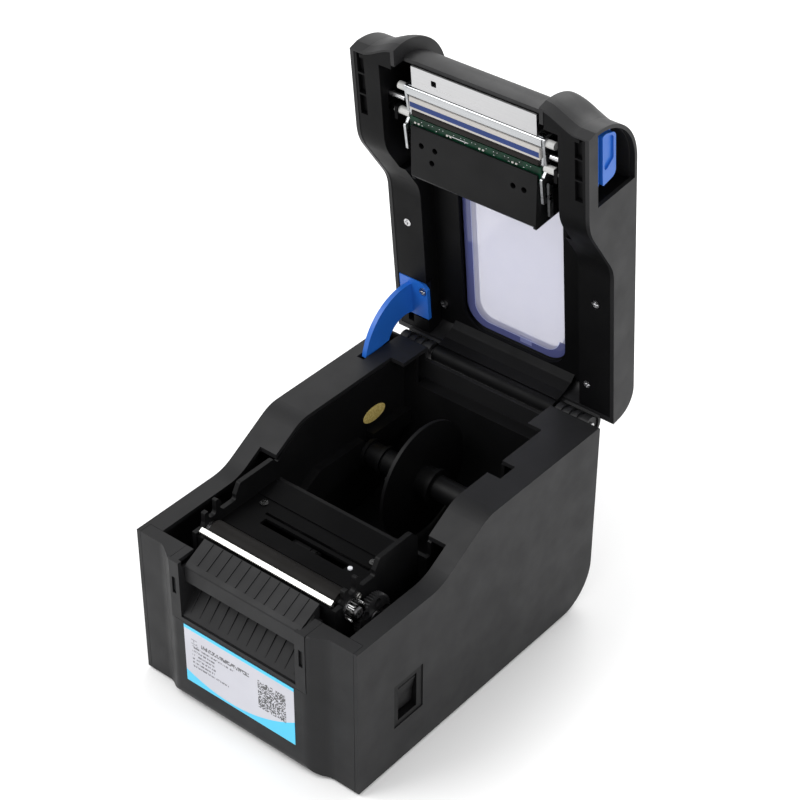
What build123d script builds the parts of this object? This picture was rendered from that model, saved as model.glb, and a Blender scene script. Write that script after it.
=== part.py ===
from build123d import *
import math
import os

# Desktop thermal label printer with its lid open, in millimetres.
# Working frame: X to the right, Y from the front wing face to the back, Z up from the casing's
# lower edge.  Lid pieces are drawn closed and swung open about the hinge when they are written.

# casing
HALF_W = 76.0
DEPTH = 203.0
WALL = 2.5
LOW_TOP = 97.0
HIGH_TOP = 119.3
SLOPE_FOOT = 65.8
SLOPE_HEAD = 104.5
FOOT_R = 29.0
HEAD_R = 24.0
REAR_R = 25.0
HALF_SLOPE_TAN = math.tan(math.atan2(HIGH_TOP - LOW_TOP, SLOPE_HEAD - SLOPE_FOOT) / 2)
FIT = 0.2
BULGE = 6.4
BULGE_HALF = 47.0
BULGE_END = 57.0
LOW_INNER = 64.5
HIGH_INNER = 53.0
REAR_INNER = 43.5
STEP_Y = 84.0
REAR_LEDGE_Y = 181.0
REAR_SILL = 111.0
FOOT_PROUD = 1.5

# hinge and lid
HINGE_Y = 208.5
HINGE_Z = 112.3
HINGE_ROD_R = 2.0
HINGE_BARREL_R = 5.0
LID_OPEN = 84.3
LID_TOP = 140.0
LID_WALL = 2.4
LID_NOSE_Y = 8.8
LID_NOSE_R = 33.7
LID_LOW_RIM = 98.6
LID_HIGH_RIM = 119.9
LID_REAR_Y = 207.8
LID_FOOT = 65.6
LID_HEAD = 102.6
EAR_INNER = 57.0
EAR_PROUD = 8.0
EAR_END = 46.0
EAR_FADE = 70.0
RECESS_Z = 106.0
PANEL_Z = 131.0
WINDOW_HALF = 35.5

# print mechanism
PLATEN_Y = 25.5
PLATEN_Z = 96.0
PLATEN_R = 7.0
SHAFT_R = 3.0
CHEEK_IN = 46.6
CHEEK_OUT = 49.4
GUIDE_TOP = 98.0
HEAD_PIN_Z = 106.5
HEAD_PIN_Y = (27.4, 42.8)
HEAD_PIN_R = 2.2
LATCH_PIN = (34.9, 106.8)
LATCH_PIN_R = 1.5
LATCH_TRAVEL = 3.0

# gear train
MODULE = 0.6
PLATEN_TEETH = 18
IDLER_TEETH = 40
MOTOR_TEETH = 14
IDLER_Y = 38.5
MOTOR_Y = 52.0
GEAR_X = (50.8, 54.8)

# roll compartment
SPINDLE_Y = 154.5
SPINDLE_Z = 70.6
SPINDLE_R = 7.2
JOURNAL_R = 4.0
DISC_X = -8.0
DISC_R = 36.0
TUB_OUT = 54.5
TUB_IN = 52.2
TUB_FLOOR = 30.0
TUB_ROUND = 40.0
TUB_BACK = 192.0

# where the written frame stands: centred under the open lid, feet on Z = 0
OPEN_BACK = 234.006
LABEL_THICK = 0.2
MID_Y = (OPEN_BACK - BULGE - LABEL_THICK) / 2
PLACE = Location((0, -MID_Y, FOOT_PROUD))
HINGE_AXIS = Axis((0, HINGE_Y, HINGE_Z), (1, 0, 0))


def box(x0, x1, y0, y1, z0, z1):
    centre = ((x0 + x1) / 2, (y0 + y1) / 2, (z0 + z1) / 2)
    return Pos(*centre) * Box(abs(x1 - x0), abs(y1 - y0), abs(z1 - z0))


def prism(corners, x0, x1):
    """Extrude an outline along X.  Each corner is (y, z) or (y, z, fillet radius)."""
    points = [(c[0], c[1]) for c in corners]
    radii = [c[2] if len(c) > 2 else 0 for c in corners]
    edge = FilletPolyline(*points, radius=radii, close=True)
    return extrude(Plane.YZ.offset(x0) * make_face(edge), x1 - x0)


def plate(corners, z0, z1):
    """Extrude an outline upwards.  Each corner is (x, y) or (x, y, fillet radius)."""
    points = [(c[0], c[1]) for c in corners]
    radii = [c[2] if len(c) > 2 else 0 for c in corners]
    edge = FilletPolyline(*points, radius=radii, close=True)
    return extrude(Plane.XY.offset(z0) * make_face(edge), z1 - z0)


def rod(x0, x1, y, z, radius):
    """Cylinder along X."""
    return Pos((x0 + x1) / 2, y, z) * Rot(0, 90, 0) * Cylinder(radius, abs(x1 - x0))


def post(x, y, z0, z1, radius):
    """Cylinder along Z."""
    return Pos(x, y, (z0 + z1) / 2) * Cylinder(radius, z1 - z0)


def both_sides(shape):
    return shape + mirror(shape, Plane.YZ)


def mirrored_pair(shape):
    return group([shape, mirror(shape, Plane.YZ)])


def group(shapes):
    return Compound([solid for shape in shapes for solid in shape.solids()])


def save(name, shape, lid=False):
    if lid:
        shape = shape.rotate(HINGE_AXIS, -LID_OPEN)
    export_step(PLACE * shape, os.path.join("parts", name + ".step"))


def slope_shift(inset):
    return inset * HALF_SLOPE_TAN


def casing_top(inset):
    """Top line of the casing from front to back, lowered by inset."""
    shift = slope_shift(inset)
    return [
        (SLOPE_FOOT + shift, LOW_TOP - inset, FOOT_R + inset),
        (SLOPE_HEAD + shift, HIGH_TOP - inset, HEAD_R - inset),
    ]


# ---------------------------------------------------------------- casing


def casing_block(inset):
    front = inset if inset else 0
    return prism(
        [(front, inset), (front, LOW_TOP - inset)]
        + casing_top(inset)
        + [
            (DEPTH - inset, HIGH_TOP - inset, 1.5),
            (DEPTH - inset, inset, REAR_R - inset),
        ],
        -HALF_W + inset,
        HALF_W - inset,
    )


def top_opening():
    low = box(-LOW_INNER, LOW_INNER, -10, STEP_Y, 80, 130)
    high = box(-HIGH_INNER, HIGH_INNER, STEP_Y - 1, REAR_LEDGE_Y, 80, 130)
    rear = box(-REAR_INNER, REAR_INNER, REAR_LEDGE_Y - 1, DEPTH - WALL, 101, 130)
    sill = box(-REAR_INNER, REAR_INNER, DEPTH - WALL - 1, DEPTH + 1, REAR_SILL, 130)
    return low + high + rear + sill


def port_cuts():
    jack = Pos(-36, DEPTH, 34) * Rot(90, 0, 0) * Cylinder(5.6, 12)
    usb = box(-18.4, -5.6, DEPTH - 6, DEPTH + 1, 28.0, 40.2)
    drawer = box(6.2, 19.8, DEPTH - 6, DEPTH + 1, 27.6, 40.4)
    return jack + usb + drawer


def base_shell():
    shell = casing_block(0) - casing_block(WALL)
    shell -= box(-HALF_W + WALL, HALF_W - WALL, -1, DEPTH - REAR_R, -1, WALL + 1)
    shell -= box(-HALF_W + WALL, HALF_W - WALL, -1, 7.7, -1, LOW_TOP + 1)
    shell -= top_opening()
    shell -= box(-68.4, -63.6, 169.5, DEPTH - WALL, 110, 125)
    shell -= box(HIGH_INNER - 1, 61.5, 133, 146, HIGH_TOP - WALL - 1, HIGH_TOP + 1)
    shell -= box(70, HALF_W + 1, 28.5, 51.8, 25.2, 54.8)
    shell -= port_cuts()
    for x in (-68, 68):
        for y in (30, 160):
            boss = box(x - 6, x + 6, y - 5, y + 5, 2.6, 16) & box(-74, 74, 0, 200, 0, 20)
            if not (x > 0 and y < 60):
                shell += boss - post(x - math.copysign(2, x), y, 0, 20, 1.45)
    return shell


def bottom_plate():
    sheet = plate(
        [(-73.2, 3.0, 3), (73.2, 3.0, 3), (73.2, 177.4, 2), (-73.2, 177.4, 2)], 0, 2.2
    )
    for x, y in casing_screw_places():
        sheet -= post(x, y, -1, 3, 1.6)
    vents = [box(x, x + 26, y, y + 3, -1, 3) for x in (-40, 14) for y in range(96, 150, 9)]
    for vent in vents:
        sheet -= vent
    return sheet


def casing_screw_places():
    return [(-66, 30), (-66, 160), (66, 160)]


def rubber_feet():
    return group([post(x, y, -FOOT_PROUD, 0, 6.5) for x in (-54, 54) for y in (18, 166)])


def screw(x, y, z0, length, head_r=2.9, shank_r=1.4):
    """Pan-head screw driven upwards from below, its head under z0."""
    head = post(x, y, z0 - 1.0, z0, head_r)
    cross = box(x - 1.8, x + 1.8, y - 0.4, y + 0.4, z0 - 1.1, z0 - 0.5)
    cross += box(x - 0.4, x + 0.4, y - 1.8, y + 1.8, z0 - 1.1, z0 - 0.5)
    return head + post(x, y, z0, z0 + length, shank_r) - cross


def casing_screws():
    return group([screw(x, y, 0, 12) for x, y in casing_screw_places()])


def bulge_outline(inset):
    end = BULGE_END - inset * 0.3
    half = BULGE_HALF - inset * 0.3
    return [
        (half, inset - BULGE, 9),
        (end, inset, 9),
        (HALF_W - WALL - FIT, inset),
    ]


def fascia_block(inset, back, z0, z1):
    right = bulge_outline(inset)
    left = [(-c[0], c[1], c[2] if len(c) > 2 else 0) for c in reversed(right)]
    edge_x = HALF_W - WALL - FIT
    return plate(left + right + [(edge_x, back), (-edge_x, back)], z0, z1)


def front_cover():
    cover = fascia_block(0, 7.5, 0, LOW_TOP)
    cover -= fascia_block(WALL, 8.5, -1, LOW_TOP - WALL)
    rounding = prism(
        [(-BULGE, 0, 7), (-BULGE, LOW_TOP, 2.5), (9, LOW_TOP), (9, 0)], -HALF_W, HALF_W
    )
    cover &= rounding
    cover -= box(-BULGE_HALF, BULGE_HALF, -10, 9, 57.8, LOW_TOP + 1)
    return cover


def front_bezel():
    out, inn = BULGE_HALF - FIT, 40.0
    face = box(-out, out, -BULGE, -BULGE + WALL, 58, LOW_TOP)
    face -= box(-inn, inn, -BULGE - 1, 0, 60.5, LOW_TOP + 1)
    sides = both_sides(box(inn, inn + 2, -BULGE + WALL, 13, 60.5, 92))
    tops = both_sides(box(inn + 2, out, -BULGE + WALL, 7.5, LOW_TOP - WALL, LOW_TOP))
    floor = prism(
        [(-5.4, 60.5), (-3.9, 60.5), (13, 77), (13, 92), (11.4, 92), (11.4, 78.2), (-5.4, 61.6)],
        -inn,
        inn,
    )
    bezel = face + sides + tops + floor
    rib_line = [(-3.6, 62.2), (11.4, 76.8), (11.4, 80.2), (-3.6, 63.6)]
    for step in range(12):
        x = -36.3 + 6.6 * step
        bezel += prism(rib_line, x - 0.4, x + 0.4)
    slot = both_sides(box(42.6, 45.2, -BULGE - 1, -BULGE + WALL + 1, 75, 86))
    return bezel - slot


def bezel_clips():
    clip = box(43.0, 44.8, -BULGE + 1.0, -BULGE + 5, 75.4, 85.6)
    return mirrored_pair(clip)


def paper_tray():
    half = 39.6
    tray = prism(
        [(-2.2, 83), (-2.2, 92.6, 1.2), (0.6, 94.6), (13.6, 101.2), (13.6, 99.4), (1.4, 93),
         (-0.4, 91.4), (-0.4, 83)],
        -half,
        half,
    )
    tray += prism([(9.5, 97.4), (9.5, 92.2), (13.6, 92.2), (13.6, 99.6)], -half, half)
    rib_line = [(0.6, 94.4), (13.2, 100.8), (13.2, 101.6), (0.6, 95.2)]
    for step in range(11):
        x = -33.0 + 6.6 * step
        tray += prism(rib_line, x - 0.35, x + 0.35)
    return tray


def front_label():
    half = 38.6
    return box(-half, half, -BULGE - LABEL_THICK, -BULGE, 17, 56.8)


# ---------------------------------------------------------------- roll compartment


def tub_outline(inset):
    round_r = TUB_ROUND + 2.3 - inset
    floor_z = TUB_FLOOR - 2.3 + inset
    return floor_z, TUB_BACK + 2.3 - inset, 80.5 + inset, round_r


def roll_tub():
    floor_z, back, front, round_r = tub_outline(0)
    top = casing_top(WALL + 0.1)
    head = top[1]
    outer = prism(
        [(front, floor_z), (front, 95), (front + 0.1, 101), (head[0], head[1], head[2]),
         (back, head[1]), (back, floor_z, round_r)],
        -TUB_OUT,
        TUB_OUT,
    )
    outer &= prism(
        [(0, 0), (0, LOW_TOP - WALL - 0.1)] + top + [(210, head[1]), (210, 0)], -60, 60
    )
    floor_z, back, front, round_r = tub_outline(2.3)
    hollow = prism(
        [(front, floor_z), (front, 140), (back, 140), (back, floor_z, round_r)], -TUB_IN, TUB_IN
    )
    tub = outer - hollow
    shoulder = prism(
        [(front - 0.5, 60), (96, 73), (113, 82), (back + 0.5, 80), (back + 0.5, 70), (120, 62)],
        47,
        TUB_IN + 0.5,
    )
    tub += both_sides(shoulder)
    cradle = rod(46, 52.4, SPINDLE_Y, SPINDLE_Z, JOURNAL_R + 0.06)
    cradle += box(46, 52.4, SPINDLE_Y - JOURNAL_R - 0.06, SPINDLE_Y + JOURNAL_R + 0.06, SPINDLE_Z, 90)
    tub -= both_sides(cradle)
    tub -= box(-REAR_INNER, REAR_INNER, TUB_BACK - 1, 196, 99, 130)
    tub -= box(-60, 60, 70, 84, 95, 130)
    tub += box(-REAR_INNER + 0.3, REAR_INNER - 0.3, TUB_BACK, DEPTH - WALL - 0.1, 97, 99)
    tub -= box(50, 61.5, 133, 146, 88, 130)
    return tub


def roll_spindle():
    spindle = rod(-46.6, 46.6, SPINDLE_Y, SPINDLE_Z, SPINDLE_R)
    spindle += rod(-52.0, 52.0, SPINDLE_Y, SPINDLE_Z, JOURNAL_R)
    for x in (-45.4, -34.5, 34.5, 45.4):
        spindle += rod(x - 1.1, x + 1.1, SPINDLE_Y, SPINDLE_Z, SPINDLE_R + 1.6)
    spindle -= rod(-60, 60, SPINDLE_Y, SPINDLE_Z, 2.2)
    return spindle


def guide_disc():
    disc = rod(DISC_X - 1.0, DISC_X + 1.0, SPINDLE_Y, SPINDLE_Z, DISC_R)
    disc += rod(DISC_X - 6.0, DISC_X + 11.0, SPINDLE_Y, SPINDLE_Z, SPINDLE_R + 2.0)
    disc += rod(DISC_X + 8.6, DISC_X + 11.0, SPINDLE_Y, SPINDLE_Z, SPINDLE_R + 3.2)
    for step in range(6):
        rib = Pos(DISC_X - 1.9, SPINDLE_Y, SPINDLE_Z) * Rot(60 * step, 0, 0) * Pos(0, 0, 21)
        disc += rib * Box(1.8, 1.6, 26)
    return disc - rod(DISC_X - 20, DISC_X + 20, SPINDLE_Y, SPINDLE_Z, SPINDLE_R + 0.06)


def seal_sticker():
    face = Plane((-TUB_IN, 165.2, 89.5), x_dir=(0, 1, 0), z_dir=(1, 0, 0))
    return extrude(face * Ellipse(9.5, 5.0), 0.25)


# ---------------------------------------------------------------- print mechanism


def cheek():
    y1, y2 = HEAD_PIN_Y
    return prism(
        [(19, 22), (19, 96, 3), (21.6, 103), (21.6, 109, 0.8), (24.6, 109, 0.8),
         (24.6, 103.8, 2.2), (30.2, 103.8, 2.2), (30.2, 112.5, 0.6), (32.0, 112.5, 0.6),
         (34.6, 109.6), (34.6, 103.8, 1.6), (45.4, 103.8, 1.6), (45.4, 107), (49, 113, 2), (75, 113, 3),
         (79.6, 108, 3), (79.6, 22)],
        CHEEK_IN,
        CHEEK_OUT,
    )


def gear_places():
    """Pitch radii and centres of the platen gear, the idler and the motor pinion."""
    radii = [MODULE * teeth / 2 for teeth in (PLATEN_TEETH, IDLER_TEETH, MOTOR_TEETH)]
    reach_a = radii[0] + radii[1]
    idler_z = PLATEN_Z - math.sqrt(reach_a**2 - (IDLER_Y - PLATEN_Y) ** 2)
    reach_b = radii[1] + radii[2]
    motor_z = idler_z - math.sqrt(reach_b**2 - (MOTOR_Y - IDLER_Y) ** 2)
    return radii, idler_z, motor_z


def mech_frame():
    radii, idler_z, motor_z = gear_places()
    frame = both_sides(cheek())
    frame += box(-CHEEK_IN - 0.5, CHEEK_IN + 0.5, 19, 79.6, 20, 23)
    frame += box(-CHEEK_IN - 0.5, CHEEK_IN + 0.5, 77.6, 79.6, 22, 95)
    frame += box(-CHEEK_IN - 0.5, CHEEK_IN + 0.5, 15.2, 17.6, 84, 98.6)
    frame += both_sides(box(CHEEK_IN, CHEEK_OUT, 14.4, 20, 84, 100.4))
    frame += both_sides(box(44, 52, 26, 34, 2.3, 23) + box(44, 52, 66, 74, 2.3, 23))
    bores = rod(-60, 60, PLATEN_Y, PLATEN_Z, 5.02)
    bores += rod(40, 60, MOTOR_Y, motor_z, 7.5)
    bores += rod(40, 60, IDLER_Y, idler_z, 2.02)
    y, z = LATCH_PIN
    bores += rod(-60, 60, y, z, LATCH_PIN_R + 0.15)
    return frame - bores


def platen_bushes():
    bush = rod(CHEEK_IN - 0.6, CHEEK_OUT + 0.8, PLATEN_Y, PLATEN_Z, 5.0)
    bush -= rod(40, 60, PLATEN_Y, PLATEN_Z, SHAFT_R + 0.05)
    return mirrored_pair(bush)


def platen_roller():
    roller = rod(-43.4, 43.4, PLATEN_Y, PLATEN_Z, PLATEN_R)
    return roller - rod(-50, 50, PLATEN_Y, PLATEN_Z, SHAFT_R)


def platen_shaft():
    shaft = rod(-51.5, 55.6, PLATEN_Y, PLATEN_Z, SHAFT_R)
    shaft -= box(GEAR_X[0], 56, PLATEN_Y - 4, PLATEN_Y + 4, PLATEN_Z + 2.2, PLATEN_Z + 5)
    return shaft


def spur_gear(teeth, turn):
    """Spur gear in the XY plane with straight-sided teeth, turned by turn degrees."""
    pitch_r = MODULE * teeth / 2
    tip_r = pitch_r + MODULE * 0.9
    root_r = pitch_r - MODULE * 1.2
    step = 360 / teeth
    points = []
    for tooth in range(teeth):
        middle = turn + tooth * step
        for offset, radius in ((-0.36, root_r), (-0.12, tip_r), (0.12, tip_r), (0.36, root_r)):
            angle = math.radians(middle + offset * step)
            points.append((radius * math.cos(angle), radius * math.sin(angle)))
    return extrude(make_face(Polyline(*points, close=True)), GEAR_X[1] - GEAR_X[0])


def gear_at(teeth, turn, y, z):
    """Gear with its axis along X.  Its drawing plane's X is the row's Y and its Y is Z."""
    plane = Plane((GEAR_X[0], y, z), x_dir=(0, 1, 0), z_dir=(1, 0, 0))
    return plane * spur_gear(teeth, turn)


def mesh_turn(from_teeth, from_turn, to_teeth, angle):
    """Turn that puts a tooth gap of the second gear against a tooth of the first."""
    phase = (angle - from_turn) * from_teeth / 360
    return angle + 180 + (phase + 0.5) * 360 / to_teeth


def gears():
    radii, idler_z, motor_z = gear_places()
    down = math.degrees(math.atan2(idler_z - PLATEN_Z, IDLER_Y - PLATEN_Y))
    idler_turn = mesh_turn(PLATEN_TEETH, 0, IDLER_TEETH, down)
    across = math.degrees(math.atan2(motor_z - idler_z, MOTOR_Y - IDLER_Y))
    motor_turn = mesh_turn(IDLER_TEETH, idler_turn, MOTOR_TEETH, across)
    platen = gear_at(PLATEN_TEETH, 0, PLATEN_Y, PLATEN_Z)
    shaft = rod(40, 60, PLATEN_Y, PLATEN_Z, SHAFT_R)
    shaft -= box(40, 60, PLATEN_Y - 4, PLATEN_Y + 4, PLATEN_Z + 2.2, PLATEN_Z + 5)
    platen -= shaft
    idler = gear_at(IDLER_TEETH, idler_turn, IDLER_Y, idler_z)
    idler -= rod(40, 60, IDLER_Y, idler_z, 2.05)
    for step in range(5):
        turn = math.radians(72 * step)
        spot_y = IDLER_Y + 8.2 * math.cos(turn)
        spot_z = idler_z + 8.2 * math.sin(turn)
        idler -= rod(40, 60, spot_y, spot_z, 2.4)
    pinion = gear_at(MOTOR_TEETH, motor_turn, MOTOR_Y, motor_z)
    pinion -= rod(40, 60, MOTOR_Y, motor_z, 1.5)
    return platen, idler, pinion


def idler_axle():
    radii, idler_z, motor_z = gear_places()
    axle = rod(CHEEK_IN, 55.4, IDLER_Y, idler_z, 2.0)
    return axle + rod(55.2, 56.0, IDLER_Y, idler_z, 3.4)


def stepper_motor():
    radii, idler_z, motor_z = gear_places()
    can = rod(30, CHEEK_IN - 1.4, MOTOR_Y, motor_z, 12.4)
    flange = rod(CHEEK_IN - 1.4, CHEEK_IN, MOTOR_Y, motor_z, 13.0)
    boss = rod(CHEEK_IN, CHEEK_OUT, MOTOR_Y, motor_z, 4.5)
    return can + flange + boss - rod(30, 60, MOTOR_Y, motor_z, 1.55)


def motor_shaft():
    radii, idler_z, motor_z = gear_places()
    return rod(34, 55.6, MOTOR_Y, motor_z, 1.5)


def guide_plate():
    sheet = box(-CHEEK_IN + 0.1, CHEEK_IN - 0.1, 33.4, 77.4, GUIDE_TOP - 1.8, GUIDE_TOP)
    sheet += box(-CHEEK_IN + 0.1, CHEEK_IN - 0.1, 62, 77.4, GUIDE_TOP - 1.8, GUIDE_TOP + 0.6)
    sheet += box(-CHEEK_IN + 0.1, CHEEK_IN - 0.1, 33.4, 35.2, GUIDE_TOP - 5, GUIDE_TOP - 1.5)
    sheet -= box(-29, 29, 44, 49, GUIDE_TOP - 3, GUIDE_TOP + 1)
    sheet -= box(-32, 40, 51.4, 53.2, GUIDE_TOP - 3, GUIDE_TOP + 1)
    for x in (-38, 38):
        sheet -= post(x, 57.5, GUIDE_TOP - 3, GUIDE_TOP + 1, 1.3)
    return sheet


def tear_bar():
    half = 45.4
    bar = prism(
        [(15.6, 101.0), (15.6, 101.9), (17.9, 103.3), (18.3, 102.7), (18.3, 98.8), (17.7, 98.8),
         (17.7, 102.0)],
        -half,
        half,
    )
    pitch = 1.2
    count = int(2 * half / pitch)
    points = []
    for tooth in range(count):
        x = -half + 0.2 + tooth * pitch
        points += [(x, 15.7), (x + pitch / 2, 15.1)]
    points += [(-half + 0.2 + count * pitch, 15.7), (half - 0.2, 16.1), (-half + 0.2, 16.1)]
    teeth = extrude(Plane.XY.offset(101.2) * make_face(Polyline(*points, close=True)), 0.6)
    return bar + teeth


def gap_sensor():
    carrier = box(-10, 8, 42, 51, GUIDE_TOP - 12, GUIDE_TOP - 5.4)
    window = box(-6, 4, 44.4, 48.6, GUIDE_TOP - 5.4, GUIDE_TOP - 2.5)
    grip = box(4.6, 7.6, 44.4, 48.6, GUIDE_TOP - 5.4, GUIDE_TOP - 2.5)
    return carrier + window + grip - box(-11, 9, 47.9, 50.1, GUIDE_TOP - 9.1, GUIDE_TOP - 6.9)


def sensor_rail():
    return box(-CHEEK_IN, CHEEK_IN, 48.0, 50.0, GUIDE_TOP - 9, GUIDE_TOP - 7)


def sensor_lamp():
    return post(31.6, 46.5, GUIDE_TOP, GUIDE_TOP + 0.8, 1.3)


def guide_screws():
    return group([screw_down(x, 57.5, GUIDE_TOP, 3.5) for x in (-38, 38)])


def screw_down(x, y, z, length, head_r=2.3, shank_r=1.2):
    """Pan-head screw driven downwards, its head standing on z."""
    head = post(x, y, z, z + 0.9, head_r)
    cross = box(x - 1.4, x + 1.4, y - 0.3, y + 0.3, z + 0.5, z + 1)
    cross += box(x - 0.3, x + 0.3, y - 1.4, y + 1.4, z + 0.5, z + 1)
    return head + post(x, y, z - length, z, shank_r) - cross


# ---------------------------------------------------------------- electronics


def main_board():
    board = box(-60, 60, 88, 178, 8, 9.6)
    for x in (-54, 54):
        for y in (94, 172):
            board -= post(x, y, 5, 12, 1.6)
            board += post(x, y, 2.3, 8, 3) - post(x, y, 2, 9, 1.6)
    parts = [(-30, 120, 14, 14, 2), (20, 130, 18, 10, 2.4), (40, 110, 10, 10, 8), (-5, 150, 8, 20, 6)]
    for x, y, wide, deep, tall in parts:
        board += box(x - wide / 2, x + wide / 2, y - deep / 2, y + deep / 2, 9.6, 9.6 + tall)
    return board


def port_board():
    return box(-48, 48, 187.4, 189.0, 22, 44)


def power_jack():
    body = box(-43, -29, 189.0, DEPTH - WALL, 27, 41)
    nose = Pos(-36, DEPTH - 1.3, 34) * Rot(90, 0, 0) * Cylinder(5.5, 2.4)
    bore = Pos(-36, DEPTH - 5, 34) * Rot(90, 0, 0) * Cylinder(2.8, 14)
    pin = Pos(-36, DEPTH - 7, 34) * Rot(90, 0, 0) * Cylinder(1.0, 10.4)
    return body + nose - bore + pin


def port_block(x0, x1, z0, z1, cut_x, cut_z, depth):
    """Square socket facing the back, with an opening cut_x wide and cut_z tall."""
    middle, height = (x0 + x1) / 2, (z0 + z1) / 2
    block = box(x0, x1, 189.0, DEPTH - 0.2, z0, z1)
    block -= box(middle - cut_x / 2, middle + cut_x / 2, DEPTH - depth, DEPTH, height - cut_z / 2,
                 height + cut_z / 2)
    return block


def usb_port():
    port = port_block(-18.2, -5.8, 28.2, 40.0, 8.6, 8.0, 10)
    return port + box(-14.8, -9.2, DEPTH - 11, DEPTH - 2, 32.6, 35.6)


def drawer_port():
    return port_block(6.4, 19.6, 27.8, 40.2, 9.8, 6.8, 10)


def switch_housing():
    frame = box(60, 75.4, 28.7, 51.6, 25.4, 54.6)
    frame -= Pos(70, 39.7, 40) * Rot(90, 0, 0) * Cylinder(1.56, 16.8)
    return frame - box(61.6, 77, 32.2, 47.2, 28.6, 51.4)


def power_rocker():
    profile = Plane((0, 32.6, 0), x_dir=(1, 0, 0), z_dir=(0, -1, 0))
    outline = [(75.0, 50.0), (72.9, 40.2), (72.2, 30.4), (69.0, 30.0), (66.4, 36.0), (66.4, 44.0),
               (70.2, 49.6)]
    face = make_face(FilletPolyline(*outline, radius=[0.8, 3, 0.8, 1, 2, 2, 1], close=True))
    rocker = extrude(profile * face, -14.2)
    pivot = Pos(70, 39.7, 40) * Rot(90, 0, 0) * Cylinder(1.5, 15.8)
    return rocker + pivot & box(60, 80, 31.0, 48.4, 20, 60)


# ---------------------------------------------------------------- hinge


def hinge_brackets():
    bracket = rod(44.2, 66, HINGE_Y, HINGE_Z, 5.4)
    bracket += box(44.2, 66, DEPTH, HINGE_Y, HINGE_Z - 8, HINGE_Z + 2)
    for x in (48.2, 53.4, 58.6):
        ring = rod(x, x + 2.4, HINGE_Y, HINGE_Z, 6)
        ring -= rod(x - 1, x + 4, HINGE_Y, HINGE_Z, 4.4)
        bracket -= ring & box(40, 70, HINGE_Y - 7, HINGE_Y + 7, HINGE_Z - 1, HINGE_Z + 7)
    bracket -= rod(40, 70, HINGE_Y, HINGE_Z, HINGE_ROD_R + 0.02)
    return mirrored_pair(bracket)


def hinge_rod():
    return rod(-67, 67, HINGE_Y, HINGE_Z, HINGE_ROD_R)


# ---------------------------------------------------------------- lid, drawn closed


def lid_block(inset):
    """Closed lid solid.  A positive inset gives the hollow, open below."""
    down = 30.0 if inset else 0.0
    return prism(
        [(LID_NOSE_Y + inset + (0 if inset else 1.4), LID_LOW_RIM - down),
         (LID_NOSE_Y + inset, LID_LOW_RIM + 6),
         (LID_NOSE_Y + inset, LID_TOP - inset, LID_NOSE_R - inset),
         (206.3 - inset, LID_TOP - 1.1 - inset, 14 - inset),
         (LID_REAR_Y - inset, LID_HIGH_RIM - down),
         (LID_HEAD, LID_HIGH_RIM - down, 0 if inset else HEAD_R),
         (LID_FOOT, LID_LOW_RIM - down, 0 if inset else FOOT_R)],
        -HALF_W + inset,
        HALF_W - inset,
    )


def ear_front(x):
    """Front line of an ear in plan: well forward at its inner end, easing back to the wing."""
    share = (x - EAR_END) / (EAR_FADE - EAR_END)
    ease = share * share * (3 - 2 * share)
    return LID_NOSE_Y - EAR_PROUD + (EAR_PROUD + 0.4) * ease


def ear_form(inset):
    """Ear swept from its flat inner end out to the wing; a positive inset gives its hollow."""
    top = LID_TOP - 0.1 - inset
    back = LID_NOSE_Y + 40
    sections = []
    for share in (0, 0.2, 0.4, 0.6, 0.8, 1):
        x = EAR_END + inset + (EAR_FADE - EAR_END - inset) * share
        front = ear_front(x) + inset
        points = [(front + (0 if inset else 1.6), LID_LOW_RIM - 3), (front, LID_LOW_RIM + 6),
                  (front, top), (back, top), (back, LID_LOW_RIM - 3)]
        edge = FilletPolyline(*points, radius=[0, 0, LID_NOSE_R - inset, 0, 0], close=True)
        sections.append(Plane.YZ.offset(x) * make_face(edge))
    return loft(sections)


def ear_hump():
    return ear_form(0) & box(EAR_END - 1, EAR_FADE + 1, -5, 60, LID_LOW_RIM, 150)


def ear_floor():
    """Closes the underside and the back of an ear's hollow."""
    inner = ear_form(LID_WALL + 0.25)
    floor = inner & box(EAR_END, EAR_FADE, -5, 13.8, LID_LOW_RIM + 0.2, LID_LOW_RIM + 2.6)
    back = inner & box(EAR_END, EAR_INNER + 1, 11.8, 13.8, LID_LOW_RIM + 0.2, LID_TOP)
    return floor + back


def lever_recess():
    gap = 2.2
    return prism(
        [(LID_NOSE_Y + gap, RECESS_Z), (LID_NOSE_Y + gap, LID_TOP - gap, LID_NOSE_R - gap),
         (54, LID_TOP - gap), (54, RECESS_Z)],
        HALF_W - LID_WALL - 1,
        HALF_W + 1,
    )


def window_outline(half, front, back, corner):
    return [(-half, front, 10), (half, front, 10), (half, back, corner), (-half, back, corner)]


def rear_lip():
    """Curved lip at the lid's rear edge that wraps over the hinge knuckles."""
    lip = rod(-67, 67, HINGE_Y, HINGE_Z, 8.2) - rod(-68, 68, HINGE_Y, HINGE_Z, 6.3)
    reach = [(HINGE_Y + 20 * math.cos(math.radians(turn)), HINGE_Z + 20 * math.sin(math.radians(turn)))
             for turn in (108, 48)]
    return lip & prism([(HINGE_Y, HINGE_Z)] + reach, -68, 68)


def lid_cover():
    cover = lid_block(0) + both_sides(ear_hump())
    cover -= lid_block(LID_WALL)
    cover += rear_lip()
    cover -= both_sides(ear_form(LID_WALL))
    cover -= box(-46, 46, 0, 30, 90, 105.8)
    cover -= both_sides(lever_recess())
    cover -= plate(window_outline(33, 88, 194, 14), 130, 150)
    cover -= post(50, 56, 130, 150, 6.0)
    for x in (40, 50, 60):
        cover -= post(x, 72, 130, 150, 1.5)
    return cover


def lid_window():
    window = plate(window_outline(35, 85.5, 195.0, 14), 134.2, 135.9)
    return window + plate(window_outline(32.8, 88.2, 193.8, 13.8), 135.8, 138.7)


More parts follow.
